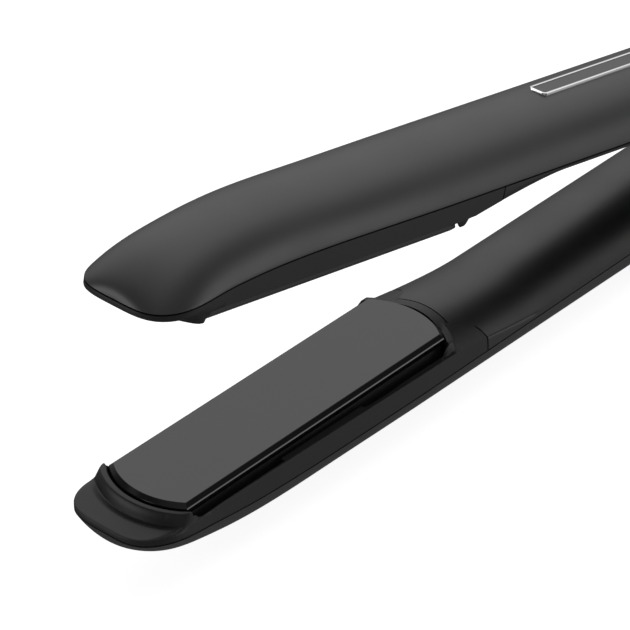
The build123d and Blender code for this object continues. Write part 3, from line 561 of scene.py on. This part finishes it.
def housing_columns():
    """For the near half of the ring round the plate: inner point, middle point, outer point, kind.

    Inner points follow the well; outer ones follow the arm's outline, then the split line.
    """
    corner = math.asin(WELL_HALF_WIDTH / WELL_RADIUS)
    corner_x = FRONT_ARC_X - WELL_RADIUS * math.cos(corner)
    columns = []
    outline_x = tip_x(np.linspace(0, QUARTER, 2000))
    outline_x = outline_x[outline_x <= corner_x]
    run = along(np.stack([outline_x, -half_width(outline_x)], 1), 60)
    step = np.gradient(run, axis=0)
    normal = np.stack([-step[:, 1], step[:, 0]], 1) / np.hypot(*step.T)[:, None]
    normal[0] = (1, 0)
    for i, t in enumerate(np.linspace(0, 1, len(run))):
        a = corner * t
        inner = (FRONT_ARC_X - WELL_RADIUS * math.cos(a), -WELL_RADIUS * math.sin(a))
        inward = normal[i] if normal[i].sum() > 0 else -normal[i]
        columns.append((inner, run[i] + WALL_REACH * inward, run[i], "tip"))
    rear_corner_x = REAR_ARC_X + WELL_RADIUS * math.cos(corner)
    for x in np.linspace(corner_x, rear_corner_x, 74)[1:-1]:
        w = float(half_width(x))
        columns.append(((x, -WELL_HALF_WIDTH), (x, -(w - WALL_REACH)), (x, -w), "side"))
    shift = SPLIT_X - SEAM_GAP
    side = along([(rear_corner_x, -HALF_WIDTH), (shift, -HALF_WIDTH)], 30)
    rear = along(split_line(), 46)[1:]
    total = len(side) + len(rear)
    for i, (x, y) in enumerate(np.concatenate([side, rear])):
        a = corner * (1 - i / (total - 1))
        inner = (REAR_ARC_X + WELL_RADIUS * math.cos(a), -WELL_RADIUS * math.sin(a))
        if i < len(side):
            back = 0.6 * ease(x, shift - 5, shift)
            columns.append((inner, (x - back, y + WALL_REACH), (x, y), "side"))
        else:
            middle_y = min(y + WALL_REACH * ramp(-y, 0, 12), 0.0)
            columns.append((inner, (x - 0.6, middle_y), (x, y), "split"))
    return columns


RIDGE_BAND = 7.0  # how far the fine rows reach out from the well
# Distances from the outline, for the rows over the wall's rounded top and down its side
WALL_MARKS = np.array(
    [1.6, 1.25, 1.0, 0.85, 0.72, 0.62, 0.54, 0.47, 0.41, 0.36, 0.3, 0.22, 0.14, 0.07, 0]
)


def rows_across(inner, middle):
    """Points from the well's edge outwards; past the plate's ends they follow its arc."""
    corner_x = math.sqrt(WELL_RADIUS**2 - WELL_HALF_WIDTH**2)
    t = np.linspace(0, 1, 240)[:, None]
    line = inner + (middle - inner) * t
    if FRONT_ARC_X - corner_x + 1e-6 < inner[0] < REAR_ARC_X + corner_x - 1e-6:
        run = np.hypot(*(line - inner).T)
    else:
        centre_x = FRONT_ARC_X if inner[0] < PLATE_X else REAR_ARC_X
        past_well = np.hypot(line[:, 0] - centre_x, line[:, 1]) - WELL_RADIUS
        run = np.maximum.accumulate(past_well)
    near_plate = np.minimum(np.linspace(0, RIDGE_BAND, 36), run[-1])
    fine = np.interp(near_plate, run, t[:, 0])
    rows = np.concatenate([fine, fine[-1] + (1 - fine[-1]) * np.linspace(0, 1, 13)[1:]])
    return inner + (middle - inner) * rows[:, None]


def housing_ring(inner, middle, outer, kind):
    """One closed ring of the housing: from the well's floor over its inner side to its wall."""
    reach = float(np.hypot(*(outer - middle)))
    if kind == "split":
        marks = np.linspace(1, 0, 16)[1:] * reach
    else:
        marks = WALL_MARKS * reach / WALL_REACH
    points = list(rows_across(inner, middle))
    points += [outer + (middle - outer) * (mark / max(reach, 1e-9)) for mark in marks]
    points = np.array(points)
    if kind == "tip":
        to_edge = np.hypot(*(points - outer).T)
    else:
        to_edge = half_width(points[:, 0]) - np.abs(points[:, 1])
    heights = housing_z(points[:, 0], points[:, 1], to_edge)
    base = float(seam_z(outer[0])) + SEAM_GAP
    lip = outer + (middle - outer) * (LIP / max(reach, LIP))
    plate_centre_x = PLATE_X + np.clip(inner[0] - PLATE_X, -ARC_INSET, ARC_INSET)
    toward = np.array([plate_centre_x, 0.0]) - inner
    toward = toward / np.hypot(*toward)
    ring = [(*(inner + t * toward), WELL_FLOOR_Z) for t in (1.2, 0.06)]
    ring += [(*point, height) for point, height in zip(points, heights)]
    ring += [(*outer, base), (*lip, base)]
    ring += [(*(inner + t * toward), WELL_FLOOR_Z - WELL_FLOOR) for t in (0.7, 1.2)]
    return ring


def heater_housing(arm):
    near = []
    for inner, middle, outer, kind in housing_columns():
        near.append(housing_ring(*(np.array(p, float) for p in (inner, middle, outer)), kind))
    near = np.array(near)
    far = near[::-1].copy()
    far[..., 1] *= -1
    grid = np.concatenate([near, far[1:-1]])
    n, k = grid.shape[:2]
    faces = sheet_faces(n, k, closed=True)
    last = (n - 1) * k
    faces += [(last + j, last + (j + 1) % k, (j + 1) % k, j) for j in range(k)]
    make_piece(
        f"{arm}_housing_skin", grid.reshape(-1, 3), faces, HOUSING, f"{arm}_arm",
        "heat_resistant_plastic", [f"{arm}_heater_housing"], arm, sharp=52,
    )


# ---------------------------------------------------------------- handle cover
def cover_start_x(y):
    """The cover's front edge: an arc behind the plate, stepped back at the sides."""
    y = np.abs(y)
    arc = SPLIT_X - SPLIT_SET_BACK + np.sqrt(np.maximum(SPLIT_RADIUS**2 - y * y, 0))
    arc_end = SPLIT_X - SPLIT_SET_BACK + math.sqrt(SPLIT_RADIUS**2 - SPLIT_ARC_Y**2)
    steps_y = (SPLIT_ARC_Y, 11.8, 12.4, 13.2)
    steps_x = (arc_end, SPLIT_X - 0.75, SPLIT_X - 0.3, SPLIT_X)
    return np.where(y < SPLIT_ARC_Y, arc, np.interp(y, steps_y, steps_x))


def cover_grid(stations, inset):
    """Cross-sections of the handle cover; the first ones fan out from its shaped front edge."""
    side = np.concatenate(
        [
            np.linspace(-1, -0.72, 14),
            np.linspace(-0.72, 0.72, 43)[1:-1],
            np.linspace(0.72, 1, 14),
        ]
    )
    start = cover_start_x(side * (HALF_WIDTH - COVER_SIDE))
    fan_end = stations[0] + COVER_FRONT_RUN
    rows = []
    for station in stations:
        if station < fan_end:
            xs = start + (station - stations[0]) / COVER_FRONT_RUN * (fan_end - start)
        else:
            xs = np.full(len(side), station)
        w = half_width(xs) - inset
        y = side * (w - COVER_SIDE)
        y_outside = y * (w + inset - COVER_SIDE) / np.maximum(w - COVER_SIDE, 1e-6)
        z = inner_top_z(xs, y_outside) - inset
        base = float(seam_z(xs)[0]) + SEAM_GAP
        height = z[0] - base
        side_rows = ((0, 0), (0.04, 0.3), (0.16, 0.85))
        left = [(xs[0], -w[0] + lean, base + share * height) for lean, share in side_rows]
        right = [(px, -py, pz) for px, py, pz in left[::-1]]
        rows.append(left + list(zip(xs, y, z)) + right)
    return np.array(rows)


def handle_cover(arm):
    fan_end = SPLIT_X + COVER_FRONT_RUN
    stations = np.concatenate(
        [
            np.linspace(SPLIT_X, fan_end, 24),
            np.linspace(fan_end, REAR_RUN_X, 52)[1:],
            REAR_STATIONS,
        ]
    )
    inner_length, length = SHELL_END_X - COVER_END_WALL - SPLIT_X, SHELL_END_X - SPLIT_X
    outer = cover_grid(stations, 0.0)
    inner = cover_grid(SPLIT_X + (stations - SPLIT_X) * inner_length / length, COVER_WALL)
    inner[:, 0, 2] = inner[:, -1, 2] = outer[:, 0, 2]
    points, faces = trough(outer, inner, open_front=True)
    cover = make_piece(
        f"{arm}_cover_skin", points, faces, COVER, f"{arm}_arm", "soft_touch_cover",
        [f"{arm}_handle_cover"], arm, sharp=40,
    )
    # Room for the other arm's eyes, the wires and the screws, and on the lower arm also for the
    # button, the lens and the swivel
    pocket = EYE_RADIUS + EYE_GAP
    pocket_y = CHEEK_Y[0] if arm == "lower" else CHEEK_Y[1] + 0.3
    tools = [turned([(-pocket_y, pocket), (pocket_y, pocket)], (HINGE_X, 0.0, MID_Z), "y")]
    tools.append(pill(HINGE_X - 7, 3.0, 3.9, 0.6, [(0, MID_Z - 9), (0, MID_Z)]))
    for y in (-SCREW_Y, SCREW_Y):
        rims = [(-2.6, SCREW_WELL), (4.0, SCREW_WELL)]
        tools.append(turned(rims, (SCREW_X, y, SCREW_SEAT_Z + 1.2), "z", 40))
    if arm == "lower":
        tools.append(pill(BUTTON_X, 5.85, 3.55, 3.5, [(0, MID_Z - 11), (0, MID_Z)]))
        tools.append(turned([(-4.0, 1.3), (4.0, 1.3)], (LENS_X, 0.0, MID_Z - 5), "z", 40))
        tools.append(swivel_opening())
    cut(cover, *[cutter(*t, arm) for t in tools], sharp=40)


def ring_plate(y0, y1, bore, drop, count=96):
    """A hinge eye: a plate with a round top, upright sides and a bore, between y0 and y1."""
    angle = np.arange(count) * 2 * math.pi / count
    c, s = np.cos(angle), np.sin(angle)
    reach = np.minimum(EYE_RADIUS / np.maximum(np.abs(c), 1e-9), drop / np.maximum(-s, 1e-9))
    reach = np.where(s >= 0, EYE_RADIUS, reach)
    loops = [(bore, y0), (reach, y0), (reach, y1), (bore, y1), (bore, y0)]
    points = [np.stack([HINGE_X + r * c, np.full(count, y), MID_Z + r * s], -1) for r, y in loops]
    return np.concatenate(points), sheet_faces(len(loops), count, closed=True)


def merged(*parts):
    """Several (points, faces) pairs as one."""
    points, faces, start = [], [], 0
    for p, f in parts:
        points.append(np.array(p, float).reshape(-1, 3))
        faces += [tuple(int(i) + start for i in face) for face in f]
        start += len(points[-1])
    return np.concatenate(points), faces


def hinge_eyes(arm):
    """The lower arm's cheeks, or the upper arm's knuckles between them."""
    span, bore = (CHEEK_Y, CHEEK_BORE) if arm == "lower" else (KNUCKLE_Y, KNUCKLE_BORE)
    sides = [sorted((side * span[0], side * span[1])) for side in (-1, 1)]
    eyes = merged(*[ring_plate(*side, bore, EYE_DROP) for side in sides])
    make_piece(
        f"{arm}_hinge_eyes", *eyes, COVER, f"{arm}_arm", "soft_touch_cover", (), arm,
        sharp=40, bevel=0.35,
    )


def rear_stop(arm):
    """The block behind the hinge that meets the other arm's block when the jaw is fully open."""
    near, far, slope = EYE_RADIUS + 0.7, EYE_RADIUS + 4.2, math.tan(OPEN_ANGLE / 2)
    profile = [(near, -9.0), (far, -9.0), (far, -0.2 - far * slope), (near, -0.2 - near * slope)]
    points = [(HINGE_X + x, y, MID_Z + z) for y in (-5.0, 5.0) for x, z in profile]
    faces = [(0, 1, 2, 3), (4, 5, 6, 7)]
    faces += [(i, (i + 1) % 4, (i + 1) % 4 + 4, i + 4) for i in range(4)]
    make_piece(
        f"{arm}_rear_stop", points, faces, COVER, f"{arm}_arm", "soft_touch_cover", (), arm,
        sharp=40, bevel=0.5,
    )


def screw_wells(arm):
    """The cups that the cover's screws sit in."""
    profile = [(-2.3, 1.2), (-2.3, 3.0), (1.4, 3.0), (1.4, SCREW_WELL), (-1.2, SCREW_WELL)]
    profile += [(-1.2, 1.2), (-2.3, 1.2)]
    centres = [(SCREW_X, y, SCREW_SEAT_Z + 1.2) for y in (-SCREW_Y, SCREW_Y)]
    wells = merged(*[turned(profile, centre, "z", 48) for centre in centres])
    make_piece(
        f"{arm}_screw_wells", *wells, COVER, f"{arm}_arm", "soft_touch_cover", (), arm, sharp=40
    )


# ---------------------------------------------------------------- hinge caps, button and swivel
def hinge_caps():
    """Discs with a rounded rim and a shallow groove, one on each cheek."""
    profile = [(-0.2, 7.0), (0.75, 7.0), (1.0, 6.93), (1.14, 6.76), (1.2, 6.5)]
    profile += [(1.2, 5.4), (1.0, 5.2), (1.0, 5.0), (1.2, 4.8), (1.26, 3.0), (1.3, 0.02)]
    caps = []
    for side in (-1, 1):
        rims = [(side * (CHEEK_Y[1] + out), radius) for out, radius in profile]
        caps.append(turned(rims, (HINGE_X, 0.0, MID_Z), "y", 96))
    make_piece(
        "hinge_cap_discs", *merged(*caps), GLOSS, "lower_arm", "cap_gloss", ["hinge_caps"], sharp=50
    )


def power_button():
    """An oblong key with a flange under the cover and a slightly hollow top."""
    rows = [(-0.8, -7.7), (-0.8, -7.0), (0, -6.9), (0, -4.15), (0.06, -3.95), (0.2, -3.8)]
    rows += [(0.42, -3.72), (0.8, -3.7), (1.3, -3.76), (1.9, -3.84), (2.6, -3.88)]
    rows = [(inset, MID_Z + z) for inset, z in rows]
    key = pill(BUTTON_X, 5.5, 3.2, 3.1, rows, segments=20)
    make_piece(
        "power_button_key", *key, GLOSS, "power_button", "button_gloss", ["power_button"], sharp=45
    )


def cord_swivel():
    """The turning collar that the cord would come out of, with three grooves."""
    profile = [(117.6, 2.7), (117.6, 4.2), (119.6, 4.2), (119.6, 3.5), (124.35, 3.5)]
    profile += [(124.35, 4.5), (124.45, 4.7), (124.7, 4.8)]
    for start in (126.0, 127.5, 129.0):
        profile += [(start, 4.8), (start + 0.12, 4.45), (start + 0.5, 4.45), (start + 0.62, 4.8)]
    profile += [(130.3, 4.75), (130.8, 4.5), (131.15, 4.1), (131.3, 3.6), (131.3, 3.05)]
    profile += [(131.15, 2.8), (130.8, 2.7), (117.6, 2.7)]
    swivel = turned(profile, (0.0, 0.0, SWIVEL_Z), "x", 72)
    make_piece(
        "cord_swivel_collar", *swivel, RUBBER, "cord_swivel", "swivel_rubber", ["cord_swivel"],
        sharp=40,
    )


# ---------------------------------------------------------------- inlay
def on_crown(piece):
    """Lays a piece on the crown's straight line; its z is the height over that line."""
    points, faces = piece
    line = MID_Z - CROWN_DEPTH - CROWN_SLOPE * (points[:, 0] - FRONT_X)
    return np.stack([points[:, 0], points[:, 1], line - points[:, 2]], -1), faces


def inlay():
    """The bright frame along the upper arm's crown, and the satin strip in it."""
    centre, half = (INLAY_X[0] + INLAY_X[1]) / 2, (INLAY_X[1] - INLAY_X[0]) / 2
    rim, rise = INLAY_RIM, INLAY_RISE
    rows = [(0, -INLAY_SINK), (0, rise - 0.2), (0.05, rise - 0.07), (0.18, rise)]
    rows += [(rim - 0.18, rise), (rim - 0.05, rise - 0.07), (rim, rise - 0.2), (rim, -0.1)]
    bezel = on_crown(pill(centre, half, INLAY_WIDTH / 2, INLAY_CORNER, rows))
    make_piece(
        "inlay_bezel", *bezel, CHROME, "upper_arm", "bezel_chrome", ["upper_inlay_bezel"], "upper",
        sharp=35,
    )
    rows = [(rim + 0.03, -0.1), (rim + 0.03, rise - 0.28), (rim + 0.1, rise - 0.2)]
    rows += [(rim + 0.3, rise - 0.17), (rim + 1.2, rise - 0.15)]
    insert = on_crown(pill(centre, half, INLAY_WIDTH / 2, INLAY_CORNER, rows))
    make_piece(
        "inlay_insert", *insert, INSERT, "upper_arm", "insert_satin", ["upper_inlay_insert"],
        "upper", sharp=35,
    )


# ---------------------------------------------------------------- heating plate
def plate_ring(offset, z, per_arc=40, per_side=40):
    """The plate's outline, moved out by offset: two arcs and two straight sides."""
    w, r = PLATE_HALF_WIDTH + offset, PLATE_END_RADIUS + offset
    half = math.asin(min(w / r, 1))
    turns = np.linspace(half, -half, per_arc)
    front = [(FRONT_ARC_X - r * math.cos(a), -r * math.sin(a), z) for a in turns]
    rear = [(REAR_ARC_X + r * math.cos(a), r * math.sin(a), z) for a in turns]
    ends = np.linspace(front[-1][0], rear[0][0], per_side)[1:-1]
    far = [(x, w, z) for x in ends]
    near = [(x, -w, z) for x in ends[::-1]]
    return front + far + rear + near


def heating_plate(arm):
    """A plate with undercut sides, a bevel all round and a flat face."""
    top = MID_Z - PLATE_GAP
    bottom = top - PLATE_THICKNESS
    edge = PLATE_BEVEL
    rows = [(edge - 0.8, bottom), (edge - 0.5, bottom + 0.12), (edge - 0.02, top - 1.28)]
    rows += [(edge - 0.15, top - 0.95), (0.05, top - 0.05), (-0.04, top), (-0.4, top), (-2.0, top)]
    plate = capped(np.array([plate_ring(offset, z) for offset, z in rows]))
    make_piece(
        f"{arm}_plate_skin", *plate, PLATE, f"{arm}_plate", "plate_coating",
        [f"{arm}_heating_plate"], arm, sharp=12,
    )


for arm_name in ("lower", "upper"):
    outer_shell(arm_name)
    heater_housing(arm_name)
    handle_cover(arm_name)
    hinge_eyes(arm_name)
    rear_stop(arm_name)
    screw_wells(arm_name)
    heating_plate(arm_name)
hinge_caps()
power_button()
cord_swivel()
inlay()


# ---------------------------------------------------------------- floor, light and camera
FLOOR_REACH, FLOOR_Z, FLOOR_TICKS = 12.0, -0.0002, 9  # in metres; it lies just under the iron


def floor():
    """A pale floor that glows a little and doesn't show in reflections."""
    mesh = bpy.data.meshes.new("floor")
    ticks = np.linspace(-FLOOR_REACH, FLOOR_REACH, FLOOR_TICKS)
    points = [(x, y, FLOOR_Z) for x in ticks for y in ticks]
    mesh.from_pydata(points, [], sheet_faces(FLOOR_TICKS, FLOOR_TICKS))
    obj = bpy.data.objects.new("floor", mesh)
    bpy.context.scene.collection.objects.link(obj)
    material, _, shader, _ = new_material("pale_floor")
    shader.inputs["Roughness"].default_value = 0.9
    shader.inputs["Base Color"].default_value = (0.4, 0.4, 0.4, 1)
    shader.inputs["Emission Color"].default_value = (1, 1, 1, 1)
    shader.inputs["Emission Strength"].default_value = 0.9
    shader.inputs["Specular IOR Level"].default_value = 0.1
    obj.data.materials.append(material)
    obj.visible_glossy = False


# Soft lights: direction, cosines where the light begins and where it is full, and strength.
# In the photo's view they are low right, below right, low left, and near the camera.
LIGHTS = (
    ((0.62, -0.775, 0.12), 0.945, 0.995, 2.3),
    ((0.61, -0.66, -0.43), 0.90, 0.99, 0.4),
    ((-0.82, 0.54, 0.12), 0.86, 0.98, 2.2),
    ((-0.62, -0.60, 0.50), 0.55, 0.95, 0.15),
)
AMBIENT, OVERHEAD = 0.10, 1.5
BRIGHTEST = 4  # upper end of the sum of lights that the world's strength follows


def studio_world():
    """A large soft light overhead and behind the object, the soft lights, and a faint glow."""
    world = bpy.data.worlds.new("studio")
    world.use_nodes = True
    tree = world.node_tree
    heading = tree.nodes.new("ShaderNodeTexCoord").outputs["Generated"]
    axes = tree.nodes.new("ShaderNodeSeparateXYZ")
    tree.links.new(heading, axes.inputs[0])
    overhead = combined(
        tree,
        "MULTIPLY",
        map_range(tree, axes.outputs["X"], (-0.35, 0.35), (0, OVERHEAD), "SMOOTHSTEP"),
        map_range(tree, axes.outputs["Y"], (-0.53, -0.12), (0, 1), "SMOOTHSTEP"),
        map_range(tree, axes.outputs["Z"], (-0.22, 0.72), (0, 1)),
    )
    strengths = [overhead]
    for direction, start, end, strength in LIGHTS:
        toward = tree.nodes.new("ShaderNodeVectorMath")
        toward.operation = "DOT_PRODUCT"
        toward.inputs[1].default_value = Vector(direction).normalized()
        tree.links.new(heading, toward.inputs[0])
        cosine = toward.outputs["Value"]
        strengths.append(map_range(tree, cosine, (start, end), (0, strength), "SMOOTHSTEP"))
    total = combined(tree, "ADD", *strengths)
    background = tree.nodes["Background"]
    background.inputs["Color"].default_value = (1, 1, 1, 1)
    with_ambient = map_range(tree, total, (0, BRIGHTEST), (AMBIENT, BRIGHTEST + AMBIENT))
    tree.links.new(with_ambient, background.inputs["Strength"])
    bpy.context.scene.world = world


# The photo's camera, solved from the outline, the seams and the plate's corners
CAMERA_PLACE = (-0.584857, -0.467503, 0.523236)
CAMERA_AZIMUTH, CAMERA_ELEVATION = math.radians(-48.406), math.radians(34.493)
CAMERA_LENS, SENSOR_WIDTH = 205.71, 36.0


def set_camera():
    level = math.cos(CAMERA_ELEVATION)
    back = Vector(
        (
            math.sin(CAMERA_AZIMUTH) * level,
            -math.cos(CAMERA_AZIMUTH) * level,
            math.sin(CAMERA_ELEVATION),
        )
    )
    data = bpy.data.cameras.new("camera")
    data.lens, data.sensor_width, data.clip_start = CAMERA_LENS, SENSOR_WIDTH, 0.01
    camera = bpy.data.objects.new("camera", data)
    camera.location = CAMERA_PLACE
    camera.rotation_euler = back.to_track_quat("Z", "Y").to_euler()
    bpy.context.scene.collection.objects.link(camera)
    bpy.context.scene.camera = camera


floor()
studio_world()
bpy.context.scene.view_settings.view_transform = "Standard"
set_camera()
